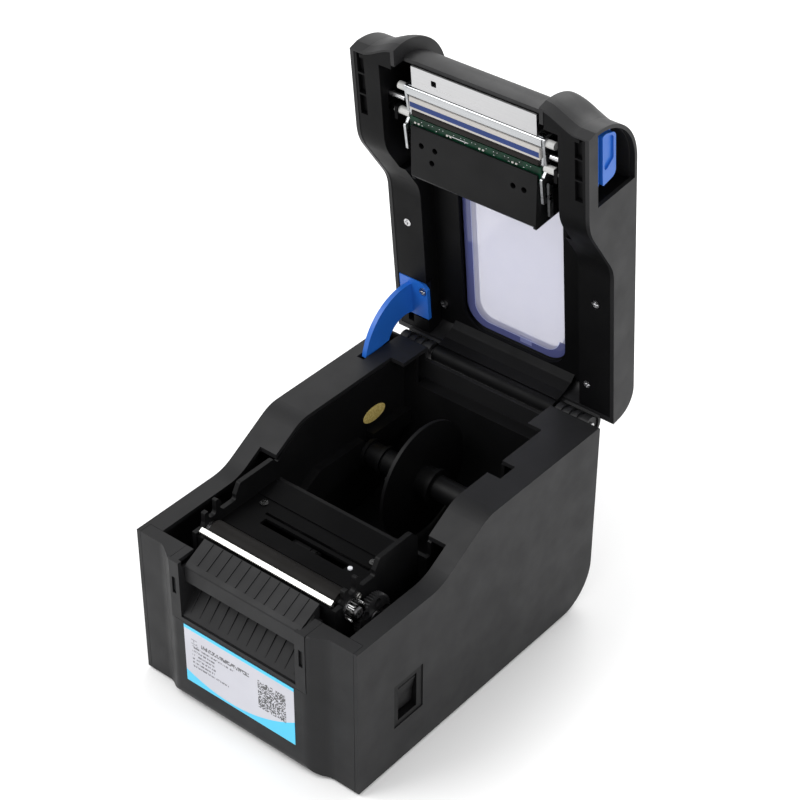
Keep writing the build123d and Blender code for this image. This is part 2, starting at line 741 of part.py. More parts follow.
def above_rim(x0, x1, y0, y1):
    """Wall from the rim band up to the centre panel."""
    low_0 = (LID_FOOT - slope_shift(0.2), LID_LOW_RIM + 0.2, FOOT_R - 0.2)
    low_1 = (LID_HEAD - slope_shift(0.2), LID_HIGH_RIM + 0.2, HEAD_R + 0.2)
    wall = prism(
        [(11.6, LID_LOW_RIM + 0.2), low_0, low_1, (204.4, LID_HIGH_RIM + 0.2), (204.4, PANEL_Z + 1),
         (11.6, PANEL_Z + 1)],
        x0,
        x1,
    )
    return wall & box(x0 - 1, x1 + 1, y0, y1, 90, 140)


def rim_skin(x0, x1, y0, y1):
    wall = above_rim(x0, x1, y0, y1)
    shift = 2.4
    return wall - Pos(0, -slope_shift(shift), shift) * above_rim(x0 - 1, x1 + 1, y0 - 5, y1 + 5)


def lid_inner_frame():
    side = rim_skin(HIGH_INNER, 73.4, STEP_Y, 204.4)
    side += rim_skin(EAR_INNER, 73.4, 11.6, STEP_Y + 0.5)
    side += above_rim(HIGH_INNER, HIGH_INNER + 2, STEP_Y, 204.4)
    side += above_rim(EAR_INNER, EAR_INNER + 4, 11.6, STEP_Y + 0.5)
    side += above_rim(HIGH_INNER, EAR_INNER + 4, STEP_Y, STEP_Y + 2)
    side += box(EAR_INNER + 3, 73.4, 55, 57, LID_LOW_RIM + 1, 137)
    side += box(50.6, 52.6, 39.8, 47.6, 103.6, PANEL_Z + 1)
    side += box(62, 63, 11.6, 56, LID_LOW_RIM + 2, 138)
    for y in (17.2, 30.0, 42.8):
        side -= box(67.2, 71.8, y - 5.9, y + 5.9, LID_LOW_RIM - 1, LID_LOW_RIM + 3)
    side += box(63, 73.4, 11.6, 56, LID_LOW_RIM + 2.6, LID_LOW_RIM + 3.8)
    y, z = LATCH_PIN
    side -= box(EAR_INNER - 1, 64, y - 2, y + LATCH_TRAVEL + 2, z - 2, z + 2)
    side -= rod(40, 60, HEAD_PIN_Y[1], HEAD_PIN_Z, HEAD_PIN_R + 0.05)
    frame = both_sides(side)
    frame -= box(-68, -64, 195, 200.6, 115, 125.6)
    panel = box(-EAR_INNER - 1, EAR_INNER + 1, 13.4, 200, PANEL_Z, PANEL_Z + 2)
    panel -= plate(window_outline(WINDOW_HALF, 84, 196, 14), PANEL_Z - 5, PANEL_Z + 5)
    for x in (-22, 22):
        panel -= post(x, 36, PANEL_Z - 2, PANEL_Z + 4, 2.0)
    frame += panel
    frame &= lid_block(LID_WALL + 0.2)
    frame += both_sides(ear_floor())
    frame += prism(
        [(196.5, 131, 1), (199.8, 127.5, 3), (202.2, 121), (203.4, 114.5), (206.8, 116.6),
         (204.0, 119.6), (203.8, 122), (202.6, 128), (199.4, 133), (196.5, 133)],
        -42,
        42,
    )
    frame += rod(-42, 42, HINGE_Y, HINGE_Z, HINGE_BARREL_R)
    frame -= rod(-60, 60, HINGE_Y, HINGE_Z, HINGE_ROD_R + 0.05)
    frame -= box(-73.5, -51, 168.6, 195.2, 115, 122.9)
    frame += box(-73.4, -52, 167.4, 197.4, 122.9, 124.9)
    frame -= box(-69, -63, 190, 199.6, 122.5, 126)
    return frame


def head_cover():
    half = 41.0
    cover = prism(
        [(46.9, 102.5, 0.5), (77.0, 100.2, 1), (79.4, 102, 1), (79.4, PANEL_Z), (76.6, PANEL_Z),
         (76.6, 103.6), (52.4, 103.6), (46.9, 103.5)],
        -half,
        half,
    )
    cover += both_sides(
        prism([(52.4, 103), (79.4, 100.8), (79.4, PANEL_Z), (70, PANEL_Z), (60, 112), (52.4, 110)],
              half - 2, half)
    )
    for x, y in ((-34, 57), (-25, 57), (-27, 65), (26, 58), (33, 58)):
        cover -= post(x, y, 95, 110, 1.7)
    return cover


def strut_arm():
    outer, inner = 36.0, 17.0
    web = rod(-67.5, -64.5, HINGE_Y, HINGE_Z, outer) - rod(-70, -60, HINGE_Y, HINGE_Z, inner)
    web &= box(-70, -60, HINGE_Y - 60, DEPTH - WALL - 0.7, HINGE_Z - 60, 122.6)
    cutter = box(-70, -60, HINGE_Y - 60, HINGE_Y + 60, HINGE_Z + 5.5, HINGE_Z + 90)
    web &= cutter.rotate(HINGE_AXIS, LID_OPEN)
    flange = plate([(-73, 169.5), (-57.5, 169.5), (-53, 174), (-53, 194.6), (-73, 194.6)], 120.3, 122.8)
    rib = prism([(171, 120.5), (176, 104), (179, 104), (176, 120.5)], -67.5, -62.5)
    flange -= post(-56.2, 175.6, 119, 130, 1.5) + post(-56.2, 175.6, 119, 120.9, 2.5)
    return web + flange + (rib & web)


def lid_screw_places():
    rim = LID_HIGH_RIM + 1.2
    return [(58, 188, rim), (64, 130, rim), (-64, 130, rim), (-49.5, 188, PANEL_Z)]


def lid_screws():
    made = [screw(x, y, z, 2.0, 2.3, 1.0) for x, y, z in lid_screw_places()]
    made.append(screw(-56.2, 175.6, 120.9, 2.2, 2.3, 1.4))
    return group(made)


def lid_screw_holes():
    """Holes for the screws in the inner frame, sunk where they pass the rim."""
    holes = []
    for x, y, z in lid_screw_places():
        holes.append(post(x, y, z - 4, z + 2.2, 1.0))
        if z < PANEL_Z:
            holes.append(post(x, y, z - 4, z, 2.5))
    return holes + [post(-56.2, 175.6, 122, 123.6, 1.45)]


def feed_button():
    return post(50, 56, 137.0, 140.9, 5.75) + post(50, 56, 135.8, 137.3, 7.2)


def status_lenses():
    return group([post(x, 72, 136.4, 140.2, 1.45) for x in (40, 50, 60)])


def panel_board():
    board = box(36, 55, 46, 80, 133.2, 134.4)
    return board


def latch_lever():
    y, z = LATCH_PIN
    body = prism(
        [(14.6, 103.4, 1.5), (14.2, 114, 2), (17.4, 124.0, 4), (44.5, 124.0, 3), (46, 114, 2),
         (46, 103.4, 1.5)],
        63.6,
        70.6,
    )
    strip = prism([(15.4, 106.8, 1), (15.4, 110.8, 1), (45.4, 110.8, 1), (45.4, 106.8, 1)], 70.4, 72.8)
    panel = prism(
        [(16.0, 112.2, 1), (15.6, 115, 2), (18.4, 123.4, 4), (43.8, 123.4, 4), (45.4, 112.2, 1)],
        70.4,
        74.4,
    )
    panel -= prism(
        [(17.8, 113.6, 1), (18.6, 121.4, 3), (33.0, 121.4, 1.5), (38.0, 113.6, 1.5)], 73.2, 76
    )
    return body + strip + panel - rod(60, 68, y, z, LATCH_PIN_R)


def latch_pin():
    y, z = LATCH_PIN
    return rod(46.9, 67.5, y, z, LATCH_PIN_R)


# ---------------------------------------------------------------- print head, drawn closed


def head_front_plate():
    sheet = box(-40, 40, 11.5, 23.8, 104.3, 105.3)
    sheet += box(-40, 40, 22.8, 23.8, 105.0, 113)
    hole = plate([(-27, 15.6, 0.6), (-23.6, 15.6, 0.6), (-23.6, 19, 0.6), (-27, 19, 0.6)], 100, 106)
    return sheet - hole


def heat_sink():
    block = box(-43.2, 43.2, 24, 47, 105.2, 113)
    block += prism([(24.2, 105.4), (24.2, 103.4, 1.3), (29.8, 103.4, 1.3), (29.8, 105.4)], -43.2, 43.2)
    for step in range(5):
        y = 27 + step * 4
        block -= box(-44, 44, y, y + 2, 109, 114)
    return block


def thermal_head():
    return box(-42, 42, 30.2, 37.4, 103.6, 105.2)


def heater_strip():
    return box(-41.6, 41.6, 33.0, 36.0, 103.45, 103.6)


def driver_resin():
    bead = prism([(38.0, 105.2), (38.0, 103.8, 1), (42.0, 103.8, 1), (42.0, 105.2)], -41, 41)
    return bead


def head_board():
    return box(-42.6, 42.6, 42.2, 51.8, 104.0, 105.2)


def head_brackets():
    y1, y2 = HEAD_PIN_Y
    side = prism(
        [(24.2, 103.6, 1), (24.2, 116, 2), (47.5, 116, 2), (51, 110.4, 2), (74, 110.4, 1),
         (74, 107.4, 1), (52, 107, 1), (50, 103.0, 1), (47, 103.0, 1), (44, 105.6)],
        43.5,
        45.0,
    )
    side += prism([(47, 101.2, 0.8), (47, 104), (50, 104), (63, 104.6), (63, 102.2, 0.8)], 43.5, 45.0)
    for y in HEAD_PIN_Y:
        side -= rod(40, 50, y, HEAD_PIN_Z, HEAD_PIN_R)
    return mirrored_pair(side)


def head_pins():
    y1, y2 = HEAD_PIN_Y
    pins = [rod(43.5, 50.2, y1, HEAD_PIN_Z, HEAD_PIN_R), rod(43.5, 53.4, y2, HEAD_PIN_Z, HEAD_PIN_R)]
    return group(pins + [mirror(pin, Plane.YZ) for pin in pins])


def head_springs():
    made = []
    for x in (-22, 22):
        coil = Helix(pitch=2.6, height=15.6, radius=2.9)
        section = Plane(coil @ 0, z_dir=coil % 0) * Circle(0.35)
        spring = sweep(section, path=coil, is_frenet=True)
        made.append(Pos(x, 36, 113.4) * spring)
    return group(made)


def write_all():
    os.makedirs("parts", exist_ok=True)
    platen_gear, idler_gear, motor_pinion = gears()
    frame = lid_inner_frame()
    for hole in lid_screw_holes():
        frame -= hole
    lever, pin = latch_lever(), latch_pin()
    base = {
        "base_shell": base_shell(),
        "bottom_plate": bottom_plate(),
        "rubber_feet": rubber_feet(),
        "casing_screws": casing_screws(),
        "front_cover": front_cover(),
        "front_bezel": front_bezel(),
        "bezel_clips": bezel_clips(),
        "paper_tray": paper_tray(),
        "front_label": front_label(),
        "roll_tub": roll_tub(),
        "roll_spindle": roll_spindle(),
        "guide_disc": guide_disc(),
        "seal_sticker": seal_sticker(),
        "mech_frame": mech_frame(),
        "platen_bushes": platen_bushes(),
        "platen_roller": platen_roller(),
        "platen_shaft": platen_shaft(),
        "platen_gear": platen_gear,
        "idler_gear": idler_gear,
        "idler_axle": idler_axle(),
        "motor_pinion": motor_pinion,
        "motor_shaft": motor_shaft(),
        "stepper_motor": stepper_motor(),
        "guide_plate": guide_plate(),
        "guide_screws": guide_screws(),
        "tear_bar": tear_bar(),
        "gap_sensor": gap_sensor(),
        "sensor_rail": sensor_rail(),
        "sensor_lamp": sensor_lamp(),
        "main_board": main_board(),
        "port_board": port_board(),
        "power_jack": power_jack(),
        "usb_port": usb_port(),
        "drawer_port": drawer_port(),
        "switch_housing": switch_housing(),
        "power_rocker": power_rocker(),
        "hinge_brackets": hinge_brackets(),
        "hinge_rod": hinge_rod(),
    }
    lid = {
        "lid_cover": lid_cover(),
        "lid_inner_frame": frame,
        "lid_window": lid_window(),
        "head_cover": head_cover(),
        "strut_arm": strut_arm(),
        "lid_screws": lid_screws(),
        "feed_button": feed_button(),
        "status_lenses": status_lenses(),
        "panel_board": panel_board(),
        "latch_lever_right": lever,
        "latch_lever_left": mirror(lever, Plane.YZ),
        "latch_pin_right": pin,
        "latch_pin_left": mirror(pin, Plane.YZ),
        "head_front_plate": head_front_plate(),
        "heat_sink": heat_sink(),
        "thermal_head": thermal_head(),
        "heater_strip": heater_strip(),
        "driver_resin": driver_resin(),
        "head_board": head_board(),
        "head_brackets": head_brackets(),
        "head_pins": head_pins(),
        "head_springs": head_springs(),
    }
    for name, shape in base.items():
        save(name, shape)
    for name, shape in lid.items():
        save(name, shape, lid=True)


write_all()
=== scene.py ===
import math

import bmesh
import bpy
from mathutils import Matrix, Vector


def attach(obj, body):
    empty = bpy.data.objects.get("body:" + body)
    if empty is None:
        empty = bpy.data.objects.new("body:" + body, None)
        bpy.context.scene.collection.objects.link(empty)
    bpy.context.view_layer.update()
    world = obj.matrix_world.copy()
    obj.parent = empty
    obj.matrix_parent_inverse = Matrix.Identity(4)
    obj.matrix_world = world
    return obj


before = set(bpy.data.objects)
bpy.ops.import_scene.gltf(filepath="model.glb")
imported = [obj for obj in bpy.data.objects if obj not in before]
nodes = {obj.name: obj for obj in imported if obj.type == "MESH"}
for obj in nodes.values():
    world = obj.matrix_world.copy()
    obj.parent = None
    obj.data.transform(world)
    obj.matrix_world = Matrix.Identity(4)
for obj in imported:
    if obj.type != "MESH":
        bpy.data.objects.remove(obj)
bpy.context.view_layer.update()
scene = bpy.context.scene

# where the working frame of the part lies in the row frame, in metres
MID_Y = 0.113703
UP = 0.0015
HINGE = (0.2085, 0.1123)
LID_ANGLE = math.radians(84.3)

# the window, in millimetres: height of its middle, half width and height, corner radius, and how
# wide the tinted rim is.  The pane is left plain in the corner beyond WINDOW_PLAIN.
WINDOW_MIDDLE = 183.3
WINDOW_HALF = (32.8, 52.6)
WINDOW_ROUND = 13.8
WINDOW_RIM = 3.4
WINDOW_LINE = (-3.9, -3.2)
WINDOW_PLAIN = (22.0, -40.0)

# the sticker: its lower left corner in millimetres (x, z), and where the printed marks begin
LABEL_CORNER = (-38.6, 18.5)
LABEL_STRIPE = 37.7
TEXT_TOP = 27.3
TEXT_PITCH = 2.7
TEXT_ROWS = 6.0
TEXT_LEFT = 5.2

# the head's board: its face, and the first place and pitch of its row of parts, in millimetres
BOARD_FACE = 103.98
BOARD_START = -39.5
BOARD_PITCH = 2.35
BOARD_STEPS = 34

LATHE_SIDES = 20
BEVEL_ANGLE = math.radians(50)
BEVEL_SEGMENTS = 2

# the camera: place in metres before the frame's shift, viewing angles and roll in degrees
CAMERA_PLACE = (0.5951, -0.5997, 0.8380)
CAMERA_AZIMUTH = 39.40
CAMERA_ELEVATION = 36.42
CAMERA_ROLL = 0.20
CAMERA_LENS = 99.1


def row(x, y, z):
    """Point in the row frame of a point given in millimetres in the casing's frame."""
    return Vector((x / 1000, y / 1000 - MID_Y, z / 1000 + UP))


def lid_point(x, y, z):
    """As row(), for a point on the closed lid, carried to where the open lid has it."""
    a, b = y / 1000 - HINGE[0], z / 1000 - HINGE[1]
    c, s = math.cos(LID_ANGLE), math.sin(LID_ANGLE)
    return Vector((x / 1000, HINGE[0] + a * c + b * s - MID_Y, HINGE[1] - a * s + b * c + UP))


# ---------------------------------------------------------------- materials


class Graph:
    """Short-hand for building a node material."""

    def __init__(self, name):
        self.material = bpy.data.materials.new(name)
        self.material.use_nodes = True
        self.tree = self.material.node_tree
        self.shader = self.tree.nodes["Principled BSDF"]
        self.coords = self.tree.nodes.new("ShaderNodeTexCoord").outputs["Object"]

    def node(self, kind, values=None, **settings):
        made = self.tree.nodes.new(kind)
        for key, value in settings.items():
            setattr(made, key, value)
        for key, value in (values or {}).items():
            if isinstance(value, bpy.types.NodeSocket):
                self.tree.links.new(value, made.inputs[key])
            else:
                made.inputs[key].default_value = value
        return made

    def set(self, **values):
        for key, value in values.items():
            self.put(key.replace("_", " "), value)

    def put(self, socket, value):
        if isinstance(value, bpy.types.NodeSocket):
            self.tree.links.new(value, self.shader.inputs[socket])
        else:
            self.shader.inputs[socket].default_value = value

    def noise(self, scale, detail=3, stretch=(1, 1, 1), rough=0.5):
        mapped = self.node("ShaderNodeMapping", {"Vector": self.coords, "Scale": stretch})
        texture = self.node(
            "ShaderNodeTexNoise",
            {"Vector": mapped.outputs[0], "Scale": scale, "Detail": detail, "Roughness": rough},
        )
        return texture.outputs["Fac"]

    def ramp(self, fac, stops):
        ramp = self.node("ShaderNodeValToRGB", {"Fac": fac})
        elements = ramp.color_ramp.elements
        for index, (place, colour) in enumerate(stops):
            if index > 1:
                elements.new(place)
            elements[index].position = place
            elements[index].color = (*colour, 1)
        return ramp.outputs["Color"]

    def spread(self, fac, low, high):
        made = self.node(
            "ShaderNodeMapRange",
            {"Value": fac, "From Min": 0.3, "From Max": 0.7, "To Min": low, "To Max": high},
        )
        return made.outputs[0]

    def maths(self, operation, *values):
        made = self.node("ShaderNodeMath", dict(enumerate(values)), operation=operation)
        return made.outputs[0]

    def product(self, first, *others):
        for other in others:
            first = self.maths("MULTIPLY", first, other)
        return first

    def between(self, value, low, high):
        """1 where value lies between low and high, and 0 elsewhere."""
        return self.product(
            self.maths("GREATER_THAN", value, low), self.maths("LESS_THAN", value, high)
        )

    def cells(self, across, up, wide, tall, seed):
        """A random number for each cell of a grid of wide by tall."""
        key = self.node(
            "ShaderNodeCombineXYZ",
            {
                "X": self.maths("FLOOR", self.maths("DIVIDE", across, wide)),
                "Y": self.maths("FLOOR", self.maths("DIVIDE", up, tall)),
                "Z": seed,
            },
        )
        texture = self.node(
            "ShaderNodeTexWhiteNoise", {"Vector": key.outputs[0]}, noise_dimensions="3D"
        )
        return texture.outputs["Value"]

    def millimetres(self, x0, z0):
        """Distances in millimetres to the right of x0 and above z0."""
        parts = self.node("ShaderNodeSeparateXYZ", {"Vector": self.coords}).outputs
        return (
            self.maths("MULTIPLY_ADD", parts["X"], 1000.0, -x0),
            self.maths("MULTIPLY_ADD", parts["Z"], 1000.0, -z0),
        )

    def mixed(self, fac, first, second):
        made = self.node("ShaderNodeMix", data_type="RGBA")
        for index, value in ((0, fac), (6, first), (7, second)):
            if isinstance(value, bpy.types.NodeSocket):
                self.tree.links.new(value, made.inputs[index])
            else:
                made.inputs[index].default_value = value if index == 0 else (*value, 1)
        return made.outputs[2]

    def bump(self, height, strength, distance):
        made = self.node(
            "ShaderNodeBump", {"Height": height, "Strength": strength, "Distance": distance}
        )
        self.tree.links.new(made.outputs[0], self.shader.inputs["Normal"])


def tinted(colour, factor):
    return tuple(min(1.0, channel * factor) for channel in colour)


def moulded(name, colour, rough=0.5, grain=2200.0, depth=0.35, vary=0.16, specular=0.5):
    """Moulded plastic with a fine spark-eroded grain and uneven gloss."""
    g = Graph(name)
    cloud = g.noise(26, 4)
    tone = g.ramp(cloud, [(0.25, tinted(colour, 1 - vary)), (0.75, tinted(colour, 1 + vary))])
    g.set(Base_Color=tone, Roughness=g.spread(g.noise(60, 3), rough - 0.05, rough + 0.06))
    g.put("Specular IOR Level", specular)
    g.bump(g.noise(grain, 2), depth, 0.00006)
    return g.material


def metal(name, colour, rough=0.25, stretch=(1, 1, 1), scale=900.0, depth=0.15, vary=0.08):
    """Metal whose finish runs along the axis that stretch leaves small."""
    g = Graph(name)
    grain = g.noise(scale, 3, stretch)
    tone = g.ramp(grain, [(0.3, tinted(colour, 1 - vary)), (0.7, tinted(colour, 1 + vary))])
    g.set(Base_Color=tone, Metallic=1.0, Roughness=g.spread(grain, rough * 0.75, rough * 1.3))
    g.bump(grain, depth, 0.00003)
    return g.material


def galvanised(name):
    g = Graph(name)
    cells = g.node("ShaderNodeTexVoronoi", {"Vector": g.coords, "Scale": 420.0})
    tone = g.ramp(cells.outputs["Distance"], [(0.0, (0.5, 0.51, 0.52)), (0.8, (0.34, 0.35, 0.36))])
    g.set(Base_Color=tone, Metallic=1.0, Roughness=g.spread(g.noise(300, 3), 0.24, 0.4))
    g.bump(g.noise(500, 3), 0.12, 0.00005)
    return g.material


def window_material():
    """Clear pane with a tinted rim that follows the window's rounded outline."""
    g = Graph("window_clear")
    across, up = g.millimetres(0, WINDOW_MIDDLE)
    side = g.maths("SUBTRACT", g.maths("ABSOLUTE", across), WINDOW_HALF[0] - WINDOW_ROUND)
    end = g.maths("SUBTRACT", g.maths("ABSOLUTE", up), WINDOW_HALF[1] - WINDOW_ROUND)
    corner = g.maths(
        "SQRT",
        g.maths(
            "ADD",
            g.maths("POWER", g.maths("MAXIMUM", side, 0.0), 2.0),
            g.maths("POWER", g.maths("MAXIMUM", end, 0.0), 2.0),
        ),
    )
    inside = g.maths("MINIMUM", g.maths("MAXIMUM", side, end), 0.0)
    edge = g.maths("SUBTRACT", g.maths("ADD", corner, inside), WINDOW_ROUND)
    plain = g.product(
        g.maths("GREATER_THAN", across, WINDOW_PLAIN[0]),
        g.maths("GREATER_THAN", up, WINDOW_PLAIN[1]),
    )
    shown = g.maths("SUBTRACT", 1.0, plain)
    rim = g.product(g.maths("GREATER_THAN", edge, -WINDOW_RIM), shown)
    line = g.product(g.between(edge, *WINDOW_LINE), shown)
    tab = g.product(g.between(across, 2.0, 10.0), g.between(up, -52.4, -47.6))
    pane = g.ramp(g.noise(18, 3), [(0.3, (0.5, 0.5, 0.66)), (0.7, (0.54, 0.54, 0.7))])
    tone = g.mixed(rim, pane, (0.085, 0.095, 0.24))
    tone = g.mixed(g.product(tab, 0.55), tone, (0.3, 0.33, 0.6))
    tone = g.mixed(g.product(line, 0.8), tone, (0.5, 0.54, 0.85))
    g.set(Base_Color=tone, Roughness=g.spread(g.noise(90, 2), 0.03, 0.08))
    g.set(Alpha=g.maths("MULTIPLY_ADD", rim, 0.38, 0.5))
    return g.material


BLACK = moulded("black_casing", (0.0085, 0.0085, 0.0092), rough=0.5, specular=0.24)
BLACK_LID = moulded("black_lid", (0.0085, 0.0085, 0.0092), rough=0.47, specular=0.28)
# painted shade: the lid's inner frame gets a darker copy of the lid's black plastic
LID_INSIDE_SHADE = moulded("black_lid_inside_painted_shade", (0.0022, 0.0022, 0.0025), rough=0.52, specular=0.1)
# painted shade: a darker copy of the black plastic for the roll tub, the bottom plate and the
# other inside parts
INSIDE_SHADE = moulded("black_inside_painted_shade", (0.0035, 0.0035, 0.0038), rough=0.5, grain=1600, specular=0.16)
DULL = moulded("black_mechanism", (0.0032, 0.0032, 0.0035), rough=0.46, grain=1400, specular=0.14)
BLUE = moulded("blue_lever", (0.014, 0.12, 0.5), rough=0.36, grain=1200, depth=0.15, vary=0.08)
RUBBER = moulded(
    "platen_rubber", (0.005, 0.0042, 0.0036), rough=0.6, grain=3000, depth=0.2, specular=0.16
)
FOOT = moulded("foot_rubber", (0.02, 0.02, 0.02), rough=0.8, grain=900, depth=0.5)
STEEL = metal("ground_steel", (0.56, 0.56, 0.57), 0.3, (0.04, 1, 1))
CHROME = metal("tear_edge", (0.4, 0.395, 0.38), 0.3, (0.02, 1, 1), depth=0.08, vary=0.05)
PLATE = metal("head_plate", (0.5, 0.5, 0.505), 0.34, (0.03, 1, 1), depth=0.1, vary=0.06)
SINK = metal("aluminium_sink", (0.44, 0.45, 0.46), 0.24, (0.03, 1, 1))
ZINC = galvanised("zinc_sheet")
GUIDE = moulded("black_guide", (0.0022, 0.0022, 0.0024), rough=0.55, grain=1400, specular=0.05)
CERAMIC = moulded("head_ceramic", (0.46, 0.44, 0.42), 0.24, 900, 0.08, 0.04, 0.3)
GLAZE = moulded("heater_glaze", (0.012, 0.034, 0.15), 0.28, 700, 0.05, 0.12, 0.2)
RESIN = moulded("driver_resin", (0.006, 0.004, 0.003), 0.34, 500, 0.25, 0.3, 0.14)
NYLON = moulded("white_nylon", (0.5, 0.5, 0.49), 0.35, 1200, 0.15, 0.05)
# dark steel for the platen gear; on the guide screws the same dark colour is painted shade
# standing for the holes they sit in
DARK_STEEL_AND_HOLE_SHADE = metal("gear_steel_and_hole_shade", (0.16, 0.16, 0.16), 0.2)
DARK_NYLON = moulded("gear_nylon", (0.02, 0.02, 0.021), 0.36, 1200, 0.15, 0.08)
BRASS = metal("pinion_brass", (0.72, 0.5, 0.22), 0.28)
MOTOR = metal("motor_can", (0.4, 0.4, 0.42), 0.36)
WINDOW = window_material()


def board_material():
    g = Graph("solder_mask")
    tone = g.ramp(g.noise(260, 3), [(0.35, (0.001, 0.012, 0.006)), (0.65, (0.002, 0.03, 0.014))])
    g.set(Base_Color=tone, Roughness=g.spread(g.noise(400, 2), 0.28, 0.42))
    g.put("Specular IOR Level", 0.16)
    g.bump(g.noise(700, 3, (1, 0.2, 1)), 0.2, 0.00005)
    return g.material


def label_material():
    """Printed film: a stripe and a sweep of colour, rows of meaningless marks and a dot field."""
    g = Graph("label_film")
    across, up = g.millimetres(*LABEL_CORNER)
    paper = g.ramp(g.noise(30, 4), [(0.3, (0.5, 0.5, 0.55)), (0.7, (0.55, 0.55, 0.6))])
    bow = g.maths("POWER", g.maths("ABSOLUTE", g.maths("SUBTRACT", across, 31.0)), 2.0)
    sweep = g.maths("LESS_THAN", up, g.maths("MULTIPLY_ADD", bow, 0.0068, 1.5))
    stripe = g.maths("GREATER_THAN", up, LABEL_STRIPE)
    dots = g.product(
        g.maths("GREATER_THAN", g.cells(across, up, 0.62, 0.62, 3.0), 0.44),
        g.between(across, 52.1, 71.4),
        g.between(up, 11.8, 31.1),
    )
    heading = g.product(
        g.maths("GREATER_THAN", g.cells(across, up, 0.55, 0.9, 7.0), 0.36),
        g.between(across, 12.0, 46.0),
        g.between(up, 28.8, 31.5),
    )
    badge = g.product(
        g.maths("GREATER_THAN", g.cells(across, up, 0.7, 0.7, 11.0), 0.55),
        g.between(across, 4.9, 9.8),
        g.between(up, 27.3, 32.2),
    )
    place = g.maths("DIVIDE", g.maths("SUBTRACT", TEXT_TOP, up), TEXT_PITCH)
    within = g.maths("FRACT", place)
    length = g.cells(g.maths("FLOOR", place), 0.0, 1.0, 1.0, 5.0)
    rows = g.product(
        g.between(place, 0.0, TEXT_ROWS),
        g.maths("LESS_THAN", within, 0.5),
        g.maths("GREATER_THAN", g.cells(across, up, 0.42, TEXT_PITCH, 9.0), 0.4),
        g.maths("GREATER_THAN", across, TEXT_LEFT),
        g.maths("LESS_THAN", across, g.maths("MULTIPLY_ADD", length, 20.0, 18.0)),
    )
    tone = g.mixed(g.maths("MAXIMUM", sweep, stripe), paper, (0.07, 0.55, 0.82))
    for mask, weight, colour in (
        (dots, 0.9, (0.02, 0.02, 0.02)),
        (heading, 0.85, (0.05, 0.05, 0.055)),
        (badge, 0.6, (0.1, 0.1, 0.12)),
        (rows, 0.8, (0.06, 0.06, 0.07)),
    ):
        tone = g.mixed(g.product(mask, weight), tone, colour)
    g.set(Base_Color=tone, Roughness=g.spread(g.noise(220, 3), 0.34, 0.46))
    g.bump(g.noise(1500, 3), 0.1, 0.00003)
    return g.material


def foil_material():
    g = Graph("gold_foil")
    tone = g.ramp(g.noise(900, 4), [(0.3, (0.62, 0.44, 0.1)), (0.7, (0.95, 0.78, 0.3))])
    g.set(Base_Color=tone, Metallic=0.25, Roughness=g.spread(g.noise(500, 3), 0.28, 0.42))
    g.bump(g.noise(1200, 3), 0.3, 0.00004)
    return g.material


def lamp_material():
    g = Graph("white_lamp")
    g.set(Base_Color=g.ramp(g.noise(500, 2), [(0.3, (0.5, 0.51, 0.55)), (0.7, (0.6, 0.6, 0.62))]))
    g.set(Roughness=g.spread(g.noise(300, 2), 0.12, 0.2))
    g.put("Emission Color", (0.9, 0.94, 1, 1))
    g.put("Emission Strength", 0.15)
    return g.material


GREEN = board_material()
LABEL = label_material()
FOIL = foil_material()
LAMP = lamp_material()

NODE_LOOKS = {
    BLACK: "base_shell front_cover front_bezel paper_tray hinge_brackets",
    BLACK_LID: "lid_cover",
    # the next two looks are darker copies of the black plastic, painted shade for the lid's inner
    # side and for the inside parts
    LID_INSIDE_SHADE: "lid_inner_frame",
    INSIDE_SHADE: "roll_tub bottom_plate bezel_clips roll_spindle guide_disc port_board",
    GUIDE: "guide_plate",
    DULL: "mech_frame gap_sensor head_cover switch_housing power_rocker power_jack"
    " drawer_port",
    BLUE: "strut_arm latch_lever_left latch_lever_right feed_button",
    RUBBER: "platen_roller",
    FOOT: "rubber_feet",
    STEEL: "casing_screws platen_bushes platen_shaft idler_axle motor_shaft"
    " sensor_rail hinge_rod lid_screws latch_pin_left latch_pin_right head_springs",
    CHROME: "tear_bar",
    PLATE: "head_front_plate",
    SINK: "heat_sink",
    ZINC: "head_brackets usb_port",
    CERAMIC: "thermal_head",
    GLAZE: "heater_strip",
    RESIN: "driver_resin",
    NYLON: "head_pins",
    # guide_screws take the dark steel as painted shade of the holes around them
    DARK_STEEL_AND_HOLE_SHADE: "platen_gear guide_screws",
    DARK_NYLON: "idler_gear",
    BRASS: "motor_pinion",
    MOTOR: "stepper_motor",
    WINDOW: "lid_window",
    GREEN: "head_board main_board panel_board",
    LABEL: "front_label",
    FOIL: "seal_sticker",
    LAMP: "sensor_lamp status_lenses",
}


def paint(piece, material):
    piece.data.materials.clear()
    piece.data.materials.append(material)
    for face in piece.data.polygons:
        face.material_index = 0


for look, names in NODE_LOOKS.items():
    for name in names.split():
        paint(nodes[name], look)


# ---------------------------------------------------------------- small fittings


def finished(name, mesh, body, material, bevel=0.0):
    """Turn a bmesh into a piece that rides on a body."""
    data = bpy.data.meshes.new(name)
    mesh.to_mesh(data)
    mesh.free()
    data.materials.append(material)
    made = bpy.data.objects.new(name, data)
    scene.collection.objects.link(made)
    if bevel:
        edge = made.modifiers.new("edges", "BEVEL")
        edge.width, edge.segments = bevel, BEVEL_SEGMENTS
    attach(made, body)


def add_block(mesh, place, x0, x1, y0, y1, z0, z1, top=1.0):
    """Six-sided block whose upper face is drawn in by top, placed through place()."""
    middle_x, middle_y = (x0 + x1) / 2, (y0 + y1) / 2
    corners = []
    for z, share in ((z0, 1.0), (z1, top)):
        for x, y in ((x0, y0), (x1, y0), (x1, y1), (x0, y1)):
            point = place(middle_x + (x - middle_x) * share, middle_y + (y - middle_y) * share, z)
            corners.append(mesh.verts.new(point))
    mesh.faces.new(corners[3::-1])
    mesh.faces.new(corners[4:])
    for i in range(4):
        j = (i + 1) % 4
        mesh.faces.new([corners[i], corners[j], corners[j + 4], corners[i + 4]])


